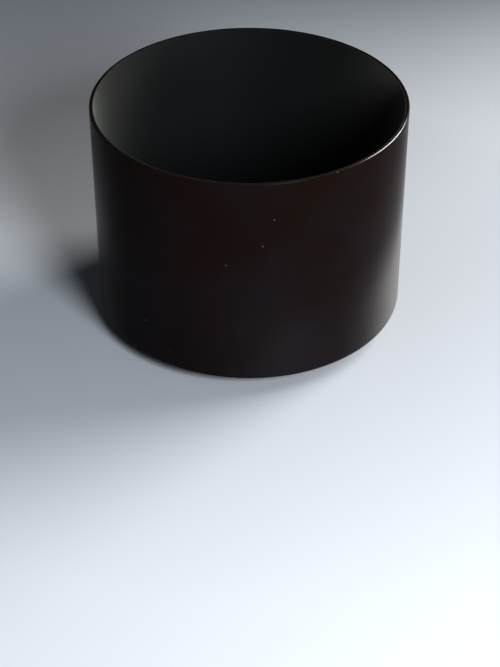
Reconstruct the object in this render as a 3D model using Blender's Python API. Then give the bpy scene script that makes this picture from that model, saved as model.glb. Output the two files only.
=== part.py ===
"""Screw-in aluminium hood for a short telephoto lens.

The barrel is a thin straight tube whose rear end turns in to a floor. A ring with the filter
thread drops in from the front until its flange lies over the floor, and its threaded skirt stands
out behind. A slotted ring holds it down, and a flock sleeve lines the bore in front of both.

The origin is on the optical axis, at the rear end of the thread, where the hood stands on a table.
+Z points forwards, to the open rim.
"""

import math

import bmesh
import bpy

MM = 0.001

# Driving sizes of the object.
BARREL_DIAMETER = 60.0 * MM
BARREL_LENGTH = 43.3 * MM
WALL_THICKNESS = 0.6 * MM
REAR_WALL_THICKNESS = 1.6 * MM
FLANGE_THICKNESS = 1.5 * MM
RETAINER_THICKNESS = 1.8 * MM
LINER_THICKNESS = 0.3 * MM
THREAD_DIAMETER = 52.0 * MM
THREAD_PITCH = 0.75 * MM
THREAD_TURNS = 2

# Clearance between neighbouring pieces, the break on their edges, and the flats round each.
GAP = 0.3 * MM
EDGE_BREAK = 0.2 * MM
SEGMENTS = 96

# Metric thread, as fractions of its pitch: a flat root, a 60 degree flank, a flat crest, a flank.
ROOT_FLAT = 1 / 4
CREST_FLAT = 1 / 8
FLANK_RUN = (1 - ROOT_FLAT - CREST_FLAT) / 2
THREAD_DEPTH = FLANK_RUN * THREAD_PITCH / math.tan(math.radians(30))
CREST_RADIUS = THREAD_DIAMETER / 2
ROOT_RADIUS = CREST_RADIUS - THREAD_DEPTH
RUN_OUT_TURNS = 0.25
LINES_PER_RIDGE = 4

# Threaded skirt, up from its end: chamfer, thread, relief groove, and the plane of the lens's rim.
# A helix of whole turns takes one pitch more than its turns, because its last line climbs too.
SKIRT_CHAMFER = 0.15 * MM
THREAD_MARGIN = 0.05 * MM
RELIEF_WIDTH = 0.25 * MM
THREAD_BOTTOM = SKIRT_CHAMFER + THREAD_MARGIN
THREAD_TOP = THREAD_BOTTOM + (THREAD_TURNS + 1) * THREAD_PITCH
RELIEF_BOTTOM = THREAD_TOP + THREAD_MARGIN
SEAT_HEIGHT = RELIEF_BOTTOM + RELIEF_WIDTH

# Barrel.
BARREL_RADIUS = BARREL_DIAMETER / 2
BORE_RADIUS = BARREL_RADIUS - WALL_THICKNESS
REAR_BORE_RADIUS = BARREL_RADIUS - REAR_WALL_THICKNESS
FLOOR_HOLE_RADIUS = CREST_RADIUS + GAP
BARREL_TOP = SEAT_HEIGHT + BARREL_LENGTH
FLOOR_TOP = SEAT_HEIGHT + REAR_WALL_THICKNESS
RIM_CHAMFER = 0.2 * MM
BORE_CHAMFER = 0.1 * MM
REAR_CORNER_RADIUS = 1.0 * MM
REAR_CORNER_STEPS = 6

# The two rings that drop in over the floor. The retaining ring leaves a ledge of the flange bare.
SKIRT_THICKNESS = 1.2 * MM
FLANGE_LEDGE = 1.0 * MM
DROP_IN_RADIUS = REAR_BORE_RADIUS - GAP
FLANGE_BOTTOM = FLOOR_TOP + GAP
FLANGE_TOP = FLANGE_BOTTOM + FLANGE_THICKNESS
MOUNT_BORE_RADIUS = ROOT_RADIUS - SKIRT_THICKNESS
RETAINER_BOTTOM = FLANGE_TOP + GAP
RETAINER_TOP = RETAINER_BOTTOM + RETAINER_THICKNESS
RETAINER_BORE_RADIUS = MOUNT_BORE_RADIUS + FLANGE_LEDGE
SPANNER_SLOT_WIDTH = 1.4 * MM
SPANNER_SLOT_DEPTH = 0.9 * MM

# Step in the bore where the thick rear wall ends, and the liner in front of it. The liner stops
# short of the rim by the same inset as the step stands above the retaining ring.
INSET = 0.5 * MM
BORE_STEP_HEIGHT = RETAINER_TOP + INSET
LINER_OUTER_RADIUS = BORE_RADIUS - GAP
LINER_INNER_RADIUS = LINER_OUTER_RADIUS - LINER_THICKNESS
LINER_BOTTOM = BORE_STEP_HEIGHT + GAP
LINER_TOP = BARREL_TOP - INSET

# Edges sharper than this stay sharp in the shading.
SMOOTH_ANGLE = math.radians(30)


def clear_scene():
    for old in list(bpy.data.objects):
        bpy.data.objects.remove(old)


def surface(name, colour, roughness, metallic):
    material = bpy.data.materials.new(name)
    material.use_nodes = True
    principled = material.node_tree.nodes["Principled BSDF"]
    principled.inputs["Base Color"].default_value = (*colour, 1.0)
    principled.inputs["Roughness"].default_value = roughness
    principled.inputs["Metallic"].default_value = metallic
    return material


def add_ring(bm, radius, height):
    """One circle of vertices about Z."""
    turn = 2 * math.pi / SEGMENTS
    return [
        bm.verts.new((radius * math.cos(step * turn), radius * math.sin(step * turn), height))
        for step in range(SEGMENTS)
    ]


def skin(bm, first, second):
    """Quads from one ring to the next, facing out where the outline runs down its outer side."""
    for step in range(SEGMENTS):
        after = (step + 1) % SEGMENTS
        bm.faces.new((first[step], second[step], second[after], first[after]))


def make_object(name, bm, material):
    mesh = bpy.data.meshes.new(name)
    bm.to_mesh(mesh)
    bm.free()
    mesh.shade_smooth()
    mesh.set_sharp_from_angle(angle=SMOOTH_ANGLE)
    mesh.materials.append(material)
    made = bpy.data.objects.new(name, mesh)
    bpy.context.scene.collection.objects.link(made)
    return made


def turned_piece(name, outline, material):
    """Turns a closed outline of (radius, height) points about Z."""
    bm = bmesh.new()
    rings = [add_ring(bm, radius, height) for radius, height in outline]
    for first, second in zip(rings, rings[1:] + rings[:1]):
        skin(bm, first, second)
    return make_object(name, bm, material)


def rear_corner():
    """The barrel's rounded rear corner, from its wall round to its rear face."""
    quarter = math.pi / 2
    angles = [quarter * step / REAR_CORNER_STEPS for step in range(REAR_CORNER_STEPS + 1)]
    centre_radius = BARREL_RADIUS - REAR_CORNER_RADIUS
    centre_height = SEAT_HEIGHT + REAR_CORNER_RADIUS
    return [
        (
            centre_radius + REAR_CORNER_RADIUS * math.cos(angle),
            centre_height - REAR_CORNER_RADIUS * math.sin(angle),
        )
        for angle in angles
    ]


def barrel_outline():
    rim = [
        (BARREL_RADIUS - RIM_CHAMFER, BARREL_TOP),
        (BARREL_RADIUS, BARREL_TOP - RIM_CHAMFER),
    ]
    floor = [
        (FLOOR_HOLE_RADIUS, SEAT_HEIGHT),
        (FLOOR_HOLE_RADIUS, FLOOR_TOP),
        (REAR_BORE_RADIUS, FLOOR_TOP),
    ]
    bore = [
        (REAR_BORE_RADIUS, BORE_STEP_HEIGHT),
        (BORE_RADIUS, BORE_STEP_HEIGHT),
        (BORE_RADIUS, BARREL_TOP - BORE_CHAMFER),
        (BORE_RADIUS + BORE_CHAMFER, BARREL_TOP),
    ]
    return rim + rear_corner() + floor + bore


def mount_ring_outline():
    """Everything but the thread: from its lower end round the bore and flange to its upper end."""
    skirt_end = [
        (ROOT_RADIUS, SKIRT_CHAMFER),
        (ROOT_RADIUS - SKIRT_CHAMFER, 0),
        (MOUNT_BORE_RADIUS + EDGE_BREAK, 0),
        (MOUNT_BORE_RADIUS, EDGE_BREAK),
    ]
    flange = [
        (MOUNT_BORE_RADIUS, FLANGE_TOP - EDGE_BREAK),
        (MOUNT_BORE_RADIUS + EDGE_BREAK, FLANGE_TOP),
        (DROP_IN_RADIUS - EDGE_BREAK, FLANGE_TOP),
        (DROP_IN_RADIUS, FLANGE_TOP - EDGE_BREAK),
        (DROP_IN_RADIUS, FLANGE_BOTTOM),
    ]
    neck = [
        (CREST_RADIUS, FLANGE_BOTTOM),
        (CREST_RADIUS, RELIEF_BOTTOM + THREAD_DEPTH),
        (ROOT_RADIUS, RELIEF_BOTTOM),
    ]
    return skirt_end + flange + neck


def retaining_ring_outline():
    return [
        (DROP_IN_RADIUS - EDGE_BREAK, RETAINER_TOP),
        (DROP_IN_RADIUS, RETAINER_TOP - EDGE_BREAK),
        (DROP_IN_RADIUS, RETAINER_BOTTOM),
        (RETAINER_BORE_RADIUS, RETAINER_BOTTOM),
        (RETAINER_BORE_RADIUS, RETAINER_TOP - EDGE_BREAK),
        (RETAINER_BORE_RADIUS + EDGE_BREAK, RETAINER_TOP),
    ]


def liner_outline():
    return [
        (LINER_OUTER_RADIUS, LINER_TOP),
        (LINER_OUTER_RADIUS, LINER_BOTTOM),
        (LINER_INNER_RADIUS, LINER_BOTTOM),
        (LINER_INNER_RADIUS, LINER_TOP),
    ]


def crest_height(ridge_turns):
    """Height of the crest over the root, tapered to nothing at both ends of the thread."""
    from_end = min(ridge_turns, THREAD_TURNS - ridge_turns)
    return THREAD_DEPTH * min(1.0, max(0.0, from_end / RUN_OUT_TURNS))


def thread_vertex(bm, step, row):
    """A vertex on one of the lines that climb one pitch a turn. Each ridge has four lines:
    the two edges of the root flat, then the two edges of the crest flat."""
    ridge, line = divmod(row, LINES_PER_RIDGE)
    line_height = (0, ROOT_FLAT, ROOT_FLAT + FLANK_RUN, 1 - FLANK_RUN)[line]
    on_crest = line >= LINES_PER_RIDGE / 2
    turns = step / SEGMENTS
    radius = ROOT_RADIUS + (crest_height(ridge + turns) if on_crest else 0)
    height = THREAD_BOTTOM + (ridge + line_height + turns) * THREAD_PITCH
    angle = 2 * math.pi * turns
    return bm.verts.new((radius * math.cos(angle), radius * math.sin(angle), height))


def add_thread(bm, top_ring, bottom_ring):
    """Fills the gap between two rings with a helical thread.

    The lines climb one pitch in a turn, so beyond the last column each line meets the line one
    pitch above it in the first column, and that column reaches one pitch higher than the rest.
    """
    rows = THREAD_TURNS * LINES_PER_RIDGE
    first = [thread_vertex(bm, 0, row) for row in range(rows + LINES_PER_RIDGE + 1)]
    others = [
        [thread_vertex(bm, step, row) for row in range(rows + 1)] for step in range(1, SEGMENTS)
    ]
    columns = [first[: rows + 1], *others, first[LINES_PER_RIDGE:]]
    for left, right in zip(columns, columns[1:]):
        for row in range(rows):
            bm.faces.new((left[row], right[row], right[row + 1], left[row + 1]))

    last = SEGMENTS - 1
    for step in range(last):
        after = step + 1
        bm.faces.new((bottom_ring[step], bottom_ring[after], columns[after][0], columns[step][0]))
    up_first_pitch = first[: LINES_PER_RIDGE + 1]
    bm.faces.new((bottom_ring[last], bottom_ring[0], *up_first_pitch, columns[last][0]))

    for step in range(1, SEGMENTS):
        after = (step + 1) % SEGMENTS
        bm.faces.new((columns[step][-1], columns[step + 1][-1], top_ring[after], top_ring[step]))
    down_last_pitch = reversed(first[rows:])
    bm.faces.new((columns[1][-1], top_ring[1], top_ring[0], *down_last_pitch))


def build_barrel():
    black_anodised = surface(
        "barrel_black_anodised", colour=(0.015, 0.010, 0.010), roughness=0.36, metallic=0.85
    )
    turned_piece("hood_barrel", barrel_outline(), black_anodised)


def build_mount_ring():
    black_thread = surface(
        "thread_black_anodised", colour=(0.016, 0.016, 0.016), roughness=0.30, metallic=0.85
    )
    bm = bmesh.new()
    rings = [add_ring(bm, radius, height) for radius, height in mount_ring_outline()]
    for first, second in zip(rings, rings[1:]):
        skin(bm, first, second)
    add_thread(bm, top_ring=rings[-1], bottom_ring=rings[0])
    make_object("mount_ring", bm, black_thread)


def spanner_slot_cutter(material):
    """A bar across the whole ring, so that it cuts one slot on each side."""
    bm = bmesh.new()
    bmesh.ops.create_cube(bm, size=1)
    bar = (BARREL_DIAMETER, SPANNER_SLOT_WIDTH, 2 * SPANNER_SLOT_DEPTH)
    bmesh.ops.scale(bm, vec=bar, verts=bm.verts)
    cutter = make_object("spanner_slot_cutter", bm, material)
    cutter.location.z = RETAINER_TOP
    cutter.hide_render = True
    cutter.display_type = "WIRE"
    return cutter


def build_retaining_ring():
    black_ring = surface(
        "retainer_black_anodised", colour=(0.015, 0.014, 0.015), roughness=0.45, metallic=0.85
    )
    ring = turned_piece("retaining_ring", retaining_ring_outline(), black_ring)
    slots = ring.modifiers.new("spanner_slots", "BOOLEAN")
    slots.operation = "DIFFERENCE"
    slots.object = spanner_slot_cutter(black_ring)


def build_liner():
    flock = surface(
        "liner_black_flock", colour=(0.009, 0.010, 0.011), roughness=1.0, metallic=0.0
    )
    turned_piece("flock_liner", liner_outline(), flock)


clear_scene()
build_barrel()
build_mount_ring()
build_retaining_ring()
build_liner()
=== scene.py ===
"""Looks of the screw-in lens hood: materials, liner, light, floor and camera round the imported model.

The three metal pieces are shown as they are in the model, with smooth shading, rounded edges and
anodised finishes. The flock liner is rebuilt as a sheet rolled into the bore.
"""

import math

import bmesh
import bpy
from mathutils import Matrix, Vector


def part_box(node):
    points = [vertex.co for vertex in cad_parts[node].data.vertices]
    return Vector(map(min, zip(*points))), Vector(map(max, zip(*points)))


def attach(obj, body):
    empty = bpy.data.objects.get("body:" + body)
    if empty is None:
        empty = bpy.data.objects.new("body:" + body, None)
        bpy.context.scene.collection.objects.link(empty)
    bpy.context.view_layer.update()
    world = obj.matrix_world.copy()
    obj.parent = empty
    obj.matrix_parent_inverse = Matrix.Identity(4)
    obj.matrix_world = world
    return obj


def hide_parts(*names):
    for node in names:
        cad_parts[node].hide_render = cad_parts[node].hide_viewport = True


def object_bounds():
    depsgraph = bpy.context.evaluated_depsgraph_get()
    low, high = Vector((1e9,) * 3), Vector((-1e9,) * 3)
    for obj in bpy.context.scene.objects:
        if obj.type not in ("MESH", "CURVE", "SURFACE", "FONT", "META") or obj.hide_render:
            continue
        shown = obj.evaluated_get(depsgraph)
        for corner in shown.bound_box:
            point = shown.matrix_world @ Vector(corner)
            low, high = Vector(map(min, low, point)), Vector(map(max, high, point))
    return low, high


MM = 0.001
BODY = "root"

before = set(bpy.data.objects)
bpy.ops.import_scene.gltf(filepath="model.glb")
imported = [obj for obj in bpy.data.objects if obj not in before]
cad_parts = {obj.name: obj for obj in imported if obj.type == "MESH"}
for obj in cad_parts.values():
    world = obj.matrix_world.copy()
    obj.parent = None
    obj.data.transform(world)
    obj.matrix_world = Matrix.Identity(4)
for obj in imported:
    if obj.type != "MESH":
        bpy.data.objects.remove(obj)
CAD_LOW, CAD_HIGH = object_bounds()


# ---------------------------------------------------------------- sizes taken from the model

BARREL_LOW, BARREL_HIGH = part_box("hood_barrel")
BARREL_RADIUS = BARREL_HIGH.x
BARREL_TOP = BARREL_HIGH.z
SEAT_HEIGHT = BARREL_LOW.z
LINER_LOW, LINER_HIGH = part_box("flock_liner")

# The model keeps this gap between neighbouring pieces. The real liner is glued to the bore.
MODEL_GAP = 0.3 * MM
BORE_RADIUS = LINER_HIGH.x + MODEL_GAP


# ---------------------------------------------------------------- small helpers for node trees

MIX_FACTOR, MIX_COLOUR_A, MIX_COLOUR_B, MIX_COLOUR_OUT = 0, 6, 7, 2


def feed(tree, node, inputs):
    """Gives a node its inputs: a socket is linked, and anything else is set as a value."""
    for key, value in inputs.items():
        if isinstance(value, bpy.types.NodeSocket):
            tree.links.new(value, node.inputs[key])
        else:
            node.inputs[key].default_value = value


def add(tree, kind, inputs=None, **settings):
    node = tree.nodes.new(kind)
    for name, value in settings.items():
        setattr(node, name, value)
    feed(tree, node, inputs or {})
    return node


def maths(tree, operation, first, second):
    node = add(tree, "ShaderNodeMath", {0: first, 1: second}, operation=operation)
    return node.outputs[0]


def mix_colours(tree, factor, first, second):
    inputs = {MIX_FACTOR: factor, MIX_COLOUR_A: first, MIX_COLOUR_B: second}
    node = add(tree, "ShaderNodeMix", inputs, data_type="RGBA")
    return node.outputs[MIX_COLOUR_OUT]


def remap(tree, value, low, high, to_low=0.0, to_high=1.0):
    inputs = {
        "Value": value,
        "From Min": low,
        "From Max": high,
        "To Min": to_low,
        "To Max": to_high,
    }
    return add(tree, "ShaderNodeMapRange", inputs).outputs["Result"]


def noise(tree, vector, size, detail=2.0, roughness=0.5):
    """Smooth noise whose broadest features are about as large as size."""
    inputs = {"Vector": vector, "Scale": 1 / size, "Detail": detail, "Roughness": roughness}
    return add(tree, "ShaderNodeTexNoise", inputs).outputs[0]


def position(tree):
    return add(tree, "ShaderNodeTexCoord").outputs["Object"]


def height_of(tree, vector):
    return add(tree, "ShaderNodeSeparateXYZ", {0: vector}).outputs["Z"]


def lathe_vector(tree, point, along=0.02):
    """Coordinates in which noise becomes fine lines round the axis, as a lathe leaves them.

    Across the lines the coordinate is height plus radius, so they run round walls and flat faces
    alike. Along the lines it changes slowly, by the factor along.
    """
    apart = add(tree, "ShaderNodeSeparateXYZ", {0: point}).outputs
    level = add(tree, "ShaderNodeCombineXYZ", {"X": apart["X"], "Y": apart["Y"]}).outputs[0]
    radius = add(tree, "ShaderNodeVectorMath", {0: level}, operation="LENGTH").outputs["Value"]
    across = maths(tree, "ADD", radius, apart["Z"])
    slow_x = maths(tree, "MULTIPLY", apart["X"], along)
    slow_y = maths(tree, "MULTIPLY", apart["Y"], along)
    return add(tree, "ShaderNodeCombineXYZ", {"X": slow_x, "Y": slow_y, "Z": across}).outputs[0]


def specks(tree, point, spacing, size, share):
    """A mask of small round specks: one in each cell of a Voronoi pattern, in a share of cells."""
    cells = add(tree, "ShaderNodeTexVoronoi", {"Vector": point, "Scale": 1 / spacing})
    chance = add(tree, "ShaderNodeSeparateColor", {0: cells.outputs["Color"]}).outputs[0]
    chosen = maths(tree, "LESS_THAN", chance, share)
    near = remap(tree, cells.outputs["Distance"], size / spacing, 0.5 * size / spacing)
    return maths(tree, "MULTIPLY", chosen, near)


SHADED_EDGE_WIDTH = 0.18 * MM
SHADED_EDGE_SAMPLES = 8


def rounded_normal(tree):
    """The surface's normal, turned along its edges as if they were rounded over."""
    inputs = {"Radius": SHADED_EDGE_WIDTH}
    return add(tree, "ShaderNodeBevel", inputs, samples=SHADED_EDGE_SAMPLES).outputs[0]


def edge_mask(tree, rounded):
    """White along edges: there the rounded normal leaves the true normal."""
    true_normal = add(tree, "ShaderNodeNewGeometry").outputs["True Normal"]
    same = add(tree, "ShaderNodeVectorMath", {0: rounded, 1: true_normal}, operation="DOT_PRODUCT")
    return remap(tree, same.outputs["Value"], 0.995, 0.90)


def lip_mask(tree, rounded):
    """White where the surface turns from a 45 degree slope to nearly level, as a rim's lip does."""
    upward = height_of(tree, rounded)
    past_slope = remap(tree, upward, 0.62, 0.80)
    not_level = remap(tree, upward, 0.998, 0.96)
    return maths(tree, "MULTIPLY", past_slope, not_level)


# ---------------------------------------------------------------- materials

BARE_METAL = (0.16, 0.155, 0.15, 1)
DUST = (0.26, 0.26, 0.28, 1)
LINT = (0.20, 0.20, 0.19, 1)
BLACK = (0.0, 0.0, 0.0, 1)
GRAIN_SIZE = 0.12 * MM
GRAIN_DEPTH = 0.004 * MM


def new_material(name):
    material = bpy.data.materials.new(name)
    material.use_nodes = True
    return material


def anodised_colour(tree, point, warm, cool, edge):
    """Two dark tints that mingle in patches, a painted reflection of the pale floor below that turns
    the colour to the lighter cool tint towards the bottom, bare metal in worn spots along the edges,
    and dust."""
    mottle = remap(tree, noise(tree, point, size=14 * MM), 0.35, 0.65, 0.0, 0.5)
    # painted reflection: the colour turns lighter and cooler towards the bottom, as if the barrel
    # mirrored the pale floor under it
    painted_floor_reflection = remap(tree, height_of(tree, point), BARREL_TOP, CAD_LOW.z, 0.0, 0.5)
    tint = mix_colours(tree, maths(tree, "ADD", mottle, painted_floor_reflection), (*warm, 1), (*cool, 1))
    patches = remap(tree, noise(tree, point, size=2.2 * MM, detail=4.0), 0.54, 0.72, 0.0, 0.35)
    worn = mix_colours(tree, maths(tree, "MULTIPLY", edge, patches), tint, BARE_METAL)
    dust = specks(tree, point, spacing=2.2 * MM, size=0.20 * MM, share=0.12)
    return mix_colours(tree, maths(tree, "MULTIPLY", dust, 0.6), worn, DUST)


def anodised_roughness(tree, point, middle, lines, lip):
    """A roughness that smears and lathe lines vary a little, and that is higher on the lip."""
    smears = noise(tree, point, size=9 * MM, detail=3.0)
    smeared = remap(tree, smears, 0.3, 0.7, middle - 0.02, middle + 0.02)
    lined = maths(tree, "ADD", smeared, remap(tree, lines, 0.3, 0.7, -0.01, 0.01))
    return maths(tree, "ADD", lined, maths(tree, "MULTIPLY", lip, 0.10))


def anodised_normal(tree, point, rounded, lines, line_depth, lip):
    """Lathe lines and a fine grain over the rounded normal. Handling has worn both off the lip."""
    unpolished = maths(tree, "SUBTRACT", 1.0, lip)
    lined = {"Height": lines, "Distance": line_depth, "Strength": unpolished, "Normal": rounded}
    line_bump = add(tree, "ShaderNodeBump", lined)
    grained = {
        "Height": noise(tree, point, size=GRAIN_SIZE),
        "Distance": GRAIN_DEPTH,
        "Strength": unpolished,
        "Normal": line_bump.outputs[0],
    }
    return add(tree, "ShaderNodeBump", grained).outputs[0]


def anodised_aluminium(name, warm, cool, ior, roughness, lip_gloss, line_depth, line_pitch):
    """Dyed oxide over turned aluminium, with a lip that handling has polished."""
    material = new_material(name)
    tree = material.node_tree
    point = position(tree)
    rounded = rounded_normal(tree)
    lip = lip_mask(tree, rounded)
    lines = noise(tree, lathe_vector(tree, point), size=line_pitch)
    look = {
        "Base Color": anodised_colour(tree, point, warm, cool, edge_mask(tree, rounded)),
        "Roughness": anodised_roughness(tree, point, roughness, lines, lip),
        "IOR": ior,
        "Specular IOR Level": remap(tree, lip, 0.0, 1.0, 0.5, lip_gloss),
        "Normal": anodised_normal(tree, point, rounded, lines, line_depth, lip),
    }
    feed(tree, tree.nodes["Principled BSDF"], look)
    return material


def black_flock(name):
    """Short upright fibres: no gloss, a soft sheen at grazing angles, a fine uneven nap, lint."""
    material = new_material(name)
    tree = material.node_tree
    point = position(tree)
    nap = noise(tree, point, size=0.18 * MM, detail=3.0, roughness=0.7)
    fine = remap(tree, nap, 0.3, 0.7, 0.0, 0.6)
    broad = remap(tree, noise(tree, point, size=11 * MM), 0.3, 0.7, 0.0, 0.4)
    shade = maths(tree, "ADD", fine, broad)
    pile = mix_colours(tree, shade, (0.0064, 0.0072, 0.0080, 1), (0.0110, 0.0122, 0.0132, 1))
    lint = specks(tree, point, spacing=2.4 * MM, size=0.18 * MM, share=0.12)
    bump = add(tree, "ShaderNodeBump", {"Height": nap, "Distance": 0.03 * MM, "Strength": 0.8})
    look = {
        "Base Color": mix_colours(tree, maths(tree, "MULTIPLY", lint, 0.5), pile, LINT),
        "Roughness": 0.6,
        "Specular IOR Level": 0.15,
        "Sheen Weight": 0.75,
        "Sheen Roughness": 0.40,
        "Sheen Tint": (0.80, 0.80, 0.67, 1),
        "Normal": bump.outputs[0],
    }
    feed(tree, tree.nodes["Principled BSDF"], look)
    return material


FLOOR_TONES = ((0.62, 0.63, 0.66, 1), (0.66, 0.67, 0.69, 1))
FLOOR_CLOUD = 160 * MM
SEEN_ROUGHNESS = 0.42
MIRRORED_ROUGHNESS = 0.60

# Each of these fades between two distances from the hood's axis.
SATIN_REACH = (35 * MM, 85 * MM)
SATIN_LEVEL = 1.2
SHINE_REACH = (36 * MM, 56 * MM)
SHINE_LEVEL = 16.0
DIMMING_REACH = (45 * MM, 80 * MM)
DIMMING_SHARE = 0.4


def pale_floor(name):
    """A pale floor, a little more satin near the hood, where it lights the hood's lower edge.

    What the hood mirrors is set apart from what the camera sees. Mirrored, the floor is shiny
    beside the hood, as a foil-covered box under it would be, and dimmer farther out. No real floor
    does this, and from behind, the glare it makes hides the barrel's straight edge low down.
    """
    material = new_material(name)
    tree = material.node_tree
    point = position(tree)
    from_axis = add(tree, "ShaderNodeVectorMath", {0: point}, operation="LENGTH").outputs["Value"]
    mirrored = add(tree, "ShaderNodeLightPath").outputs["Is Glossy Ray"]
    satin = remap(tree, from_axis, *SATIN_REACH, SATIN_LEVEL, 0.0)
    shine = remap(tree, from_axis, *SHINE_REACH, SHINE_LEVEL, 0.0)
    dimming = remap(tree, from_axis, *DIMMING_REACH, 0.0, DIMMING_SHARE)
    tone = mix_colours(tree, noise(tree, point, size=FLOOR_CLOUD), *FLOOR_TONES)
    mirrored_dimming = maths(tree, "MULTIPLY", mirrored, dimming)
    mirrored_shine = maths(tree, "MULTIPLY", mirrored, shine)
    look = {
        "Base Color": mix_colours(tree, mirrored_dimming, tone, BLACK),
        "Roughness": remap(tree, mirrored, 0.0, 1.0, SEEN_ROUGHNESS, MIRRORED_ROUGHNESS),
        "Specular IOR Level": maths(tree, "MAXIMUM", satin, mirrored_shine),
    }
    feed(tree, tree.nodes["Principled BSDF"], look)
    return material


def matt_black(name):
    material = new_material(name)
    tree = material.node_tree
    look = {"Base Color": (0.01, 0.01, 0.01, 1), "Roughness": 0.9}
    feed(tree, tree.nodes["Principled BSDF"], look)
    return material


# ---------------------------------------------------------------- pieces

SMOOTH_ANGLE = math.radians(30)
WELD_DISTANCE = 0.001 * MM


def smooth_shading_group():
    """Geometry nodes that join the model's loose triangles and shade them smooth between edges."""
    group = bpy.data.node_groups.new("weld_and_smooth", "GeometryNodeTree")
    group.interface.new_socket("Geometry", in_out="INPUT", socket_type="NodeSocketGeometry")
    group.interface.new_socket("Geometry", in_out="OUTPUT", socket_type="NodeSocketGeometry")
    start = group.nodes.new("NodeGroupInput").outputs[0]
    flat = add(group, "GeometryNodeRemoveAttribute", {"Geometry": start, "Name": "custom_normal"})
    welded = add(
        group,
        "GeometryNodeMergeByDistance",
        {"Geometry": flat.outputs[0], "Distance": WELD_DISTANCE},
    )
    smooth = add(group, "GeometryNodeSetShadeSmooth", {"Geometry": welded.outputs[0]})
    angle = add(group, "GeometryNodeInputMeshEdgeAngle").outputs["Unsigned Angle"]
    gentle = add(group, "FunctionNodeCompare", {0: angle, 1: SMOOTH_ANGLE}, operation="LESS_THAN")
    split = add(
        group,
        "GeometryNodeSetShadeSmooth",
        {"Geometry": smooth.outputs[0], "Shade Smooth": gentle.outputs[0]},
        domain="EDGE",
    )
    group.links.new(split.outputs[0], group.nodes.new("NodeGroupOutput").inputs[0])
    return group


def finish_metal(node, material, shading, edge_radius):
    """Gives a node of the model its material, smooth shading and softly rounded edges."""
    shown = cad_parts[node]
    shown.data.materials.clear()
    shown.data.materials.append(material)
    smooth = shown.modifiers.new("weld_and_smooth", "NODES")
    smooth.node_group = shading
    bevel = shown.modifiers.new("soft_edges", "BEVEL")
    bevel.width = edge_radius
    bevel.segments = 2
    bevel.limit_method = "ANGLE"
    bevel.angle_limit = SMOOTH_ANGLE
    bevel.harden_normals = True


LINER_CLEARANCE = 0.02 * MM
LINER_THICKNESS = 0.12 * MM
LINER_TOP_INSET = 0.12 * MM
SEAM_WIDTH = 0.12 * MM
SEAM_ANGLE = -math.pi / 2
LINER_COLUMNS = 288
LINER_EDGE_STEPS = 4


def liner_section():
    """The sheet's section as a closed outline, with its top edge rounded over."""
    outer = BORE_RADIUS - LINER_CLEARANCE
    inner = outer - LINER_THICKNESS
    bottom = LINER_LOW.z
    edge_radius = LINER_THICKNESS / 2
    edge_centre = (outer + inner) / 2
    edge_height = BARREL_TOP - LINER_TOP_INSET - edge_radius
    angles = [math.pi * step / LINER_EDGE_STEPS for step in range(LINER_EDGE_STEPS + 1)]
    over_top = [
        (edge_centre - edge_radius * math.cos(angle), edge_height + edge_radius * math.sin(angle))
        for angle in angles
    ]
    return [(inner, bottom), *over_top, (outer, bottom)]


def rolled_sheet():
    """A mesh of the sheet rolled into the bore, with a butt seam where its two ends meet."""
    section = liner_section()
    half_seam = SEAM_WIDTH / 2 / BORE_RADIUS
    sweep = 2 * math.pi - 2 * half_seam
    bm = bmesh.new()
    columns = []
    for column in range(LINER_COLUMNS + 1):
        angle = SEAM_ANGLE + half_seam + sweep * column / LINER_COLUMNS
        ring = [
            bm.verts.new((radius * math.cos(angle), radius * math.sin(angle), height))
            for radius, height in section
        ]
        columns.append(ring)
    for left, right in zip(columns, columns[1:]):
        for here in range(len(section)):
            after = (here + 1) % len(section)
            bm.faces.new((left[here], left[after], right[after], right[here]))
    bm.faces.new(columns[0])
    bm.faces.new(reversed(columns[-1]))
    bmesh.ops.recalc_face_normals(bm, faces=bm.faces)
    mesh = bpy.data.meshes.new("flock_sleeve")
    bm.to_mesh(mesh)
    bm.free()
    mesh.shade_smooth()
    mesh.set_sharp_from_angle(angle=SMOOTH_ANGLE)
    return mesh


def line_the_bore():
    mesh = rolled_sheet()
    mesh.materials.append(black_flock("liner_flock_pile"))
    sleeve = bpy.data.objects.new("flock_sleeve", mesh)
    bpy.context.scene.collection.objects.link(sleeve)
    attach(sleeve, BODY)
    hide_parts("flock_liner")


def dress_pieces():
    shading = smooth_shading_group()
    barrel = anodised_aluminium(
        "barrel_satin_anodised",
        warm=(0.0150, 0.0068, 0.0046),
        cool=(0.0155, 0.0125, 0.0150),
        ior=1.11,
        roughness=0.14,
        lip_gloss=20.0,
        line_depth=0.0008 * MM,
        line_pitch=0.10 * MM,
    )
    mount = anodised_aluminium(
        "mount_ring_anodised",
        warm=(0.0180, 0.0165, 0.0160),
        cool=(0.0150, 0.0150, 0.0165),
        ior=1.50,
        roughness=0.30,
        lip_gloss=1.0,
        line_depth=0.002 * MM,
        line_pitch=0.12 * MM,
    )
    retainer = anodised_aluminium(
        "retaining_ring_anodised",
        warm=(0.0160, 0.0150, 0.0150),
        cool=(0.0135, 0.0135, 0.0150),
        ior=1.45,
        roughness=0.42,
        lip_gloss=1.0,
        line_depth=0.003 * MM,
        line_pitch=0.14 * MM,
    )
    finish_metal("hood_barrel", barrel, shading, edge_radius=0.08 * MM)
    finish_metal("mount_ring", mount, shading, edge_radius=0.03 * MM)
    finish_metal("retaining_ring", retainer, shading, edge_radius=0.04 * MM)
    line_the_bore()


# ---------------------------------------------------------------- floor, light and camera

# Lengths are in metres and angles in degrees.
FLOOR_HALF = 3.0
WINDOW_AZIMUTH = 28
WINDOW_ELEVATION = 28
SHADE_HALF = 0.2
SHADE_DISTANCE = 0.2
SHADE_EDGE = 0.066
CENTRE = Vector((0, 0, (SEAT_HEIGHT + BARREL_TOP) / 2))


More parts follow.
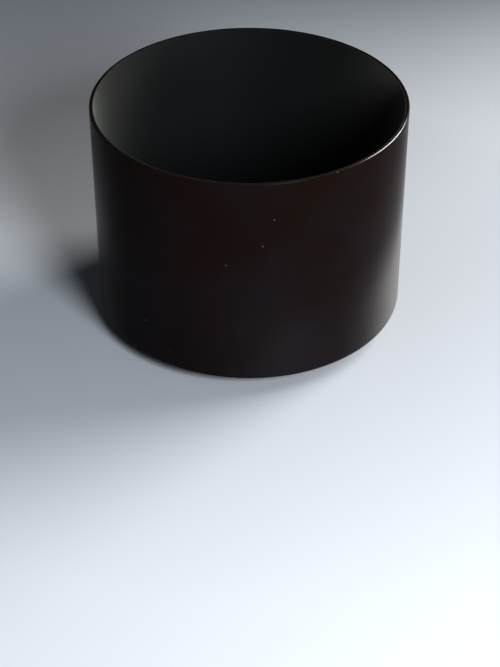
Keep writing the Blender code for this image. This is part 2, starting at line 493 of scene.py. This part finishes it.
def direction(azimuth, elevation):
    """Unit vector to a place at an azimuth anticlockwise from +X and a height above the floor."""
    flat = math.cos(math.radians(elevation))
    turn = math.radians(azimuth)
    return Vector((flat * math.cos(turn), flat * math.sin(turn), math.sin(math.radians(elevation))))


def softbox(name, azimuth, elevation, distance, size, power, colour):
    light = bpy.data.lights.new(name, "AREA")
    light.shape = "DISK"
    light.size = size
    light.energy = power
    light.color = colour
    placed = bpy.data.objects.new(name, light)
    placed.location = CENTRE + distance * direction(azimuth, elevation)
    placed.rotation_euler = (CENTRE - placed.location).to_track_quat("-Z", "Y").to_euler()
    bpy.context.scene.collection.objects.link(placed)


SURROUND_COLOUR = (0.80, 0.87, 1.0, 1)
SURROUND_LIGHT = 0.09
SURROUND_AS_SEEN = 0.42


def surround():
    """A dim even surround for light, which the camera sees as a pale room."""
    world = bpy.data.worlds.new("soft_surround")
    world.use_nodes = True
    tree = world.node_tree
    seen = add(tree, "ShaderNodeLightPath").outputs["Is Camera Ray"]
    strength = remap(tree, seen, 0.0, 1.0, SURROUND_LIGHT, SURROUND_AS_SEEN)
    glow = {"Color": SURROUND_COLOUR, "Strength": strength}
    feed(tree, tree.nodes["Background"], glow)
    bpy.context.scene.world = world


def staged_plate(name, half_side, material):
    """A flat square plate that belongs to the stage and not to the object."""
    bm = bmesh.new()
    bmesh.ops.create_grid(bm, x_segments=1, y_segments=1, size=half_side)
    mesh = bpy.data.meshes.new(name)
    bm.to_mesh(mesh)
    bm.free()
    mesh.materials.append(material)
    plate = bpy.data.objects.new(name, mesh)
    bpy.context.scene.collection.objects.link(plate)
    return plate


def shade_the_far_side():
    """A black card out of view, whose soft edge dims the right window's light on the far floor."""
    card = staged_plate("shade_card", SHADE_HALF, matt_black("shade_card_black"))
    facing = direction(WINDOW_AZIMUTH, WINDOW_ELEVATION)
    sideways = direction(WINDOW_AZIMUTH + 90, 0)
    card.location = CENTRE + SHADE_DISTANCE * facing + (SHADE_EDGE + SHADE_HALF) * sideways
    card.rotation_euler = facing.to_track_quat("Z", "Y").to_euler()


def light_the_scene():
    softbox(
        "front_lamp",
        azimuth=-64,
        elevation=31,
        distance=0.42,
        size=0.15,
        power=2.1,
        colour=(0.88, 0.94, 1.0),
    )
    softbox(
        "right_window",
        azimuth=WINDOW_AZIMUTH,
        elevation=WINDOW_ELEVATION,
        distance=1.0,
        size=0.7,
        power=13.0,
        colour=(1.0, 0.985, 0.96),
    )
    shade_the_far_side()
    surround()


def lay_floor():
    floor = staged_plate("pale_floor", FLOOR_HALF, pale_floor("pale_floor"))
    floor.location.z = CAD_LOW.z


CAMERA_LENS = 89.67
CAMERA_PITCH = 36.957
CAMERA_CLIP = 0.01
CAMERA_DISTANCE = 11.478 * BARREL_RADIUS
CAMERA_AIM = Vector((0.0043 * BARREL_RADIUS, 0, SEAT_HEIGHT - 0.3833 * BARREL_RADIUS))


def place_camera():
    data = bpy.data.cameras.new("view")
    data.lens = CAMERA_LENS
    data.clip_start = CAMERA_CLIP
    camera = bpy.data.objects.new("view", data)
    camera.location = CAMERA_AIM + CAMERA_DISTANCE * direction(-90, CAMERA_PITCH)
    camera.rotation_euler = (math.radians(90 - CAMERA_PITCH), 0, 0)
    bpy.context.scene.collection.objects.link(camera)
    bpy.context.scene.camera = camera


VIEW_GAMMA = 0.8


def set_view():
    """A plain view transform, with the contrast of a small camera's picture."""
    settings = bpy.context.scene.view_settings
    settings.view_transform = "Standard"
    settings.gamma = VIEW_GAMMA


dress_pieces()
light_the_scene()
lay_floor()
place_camera()
set_view()
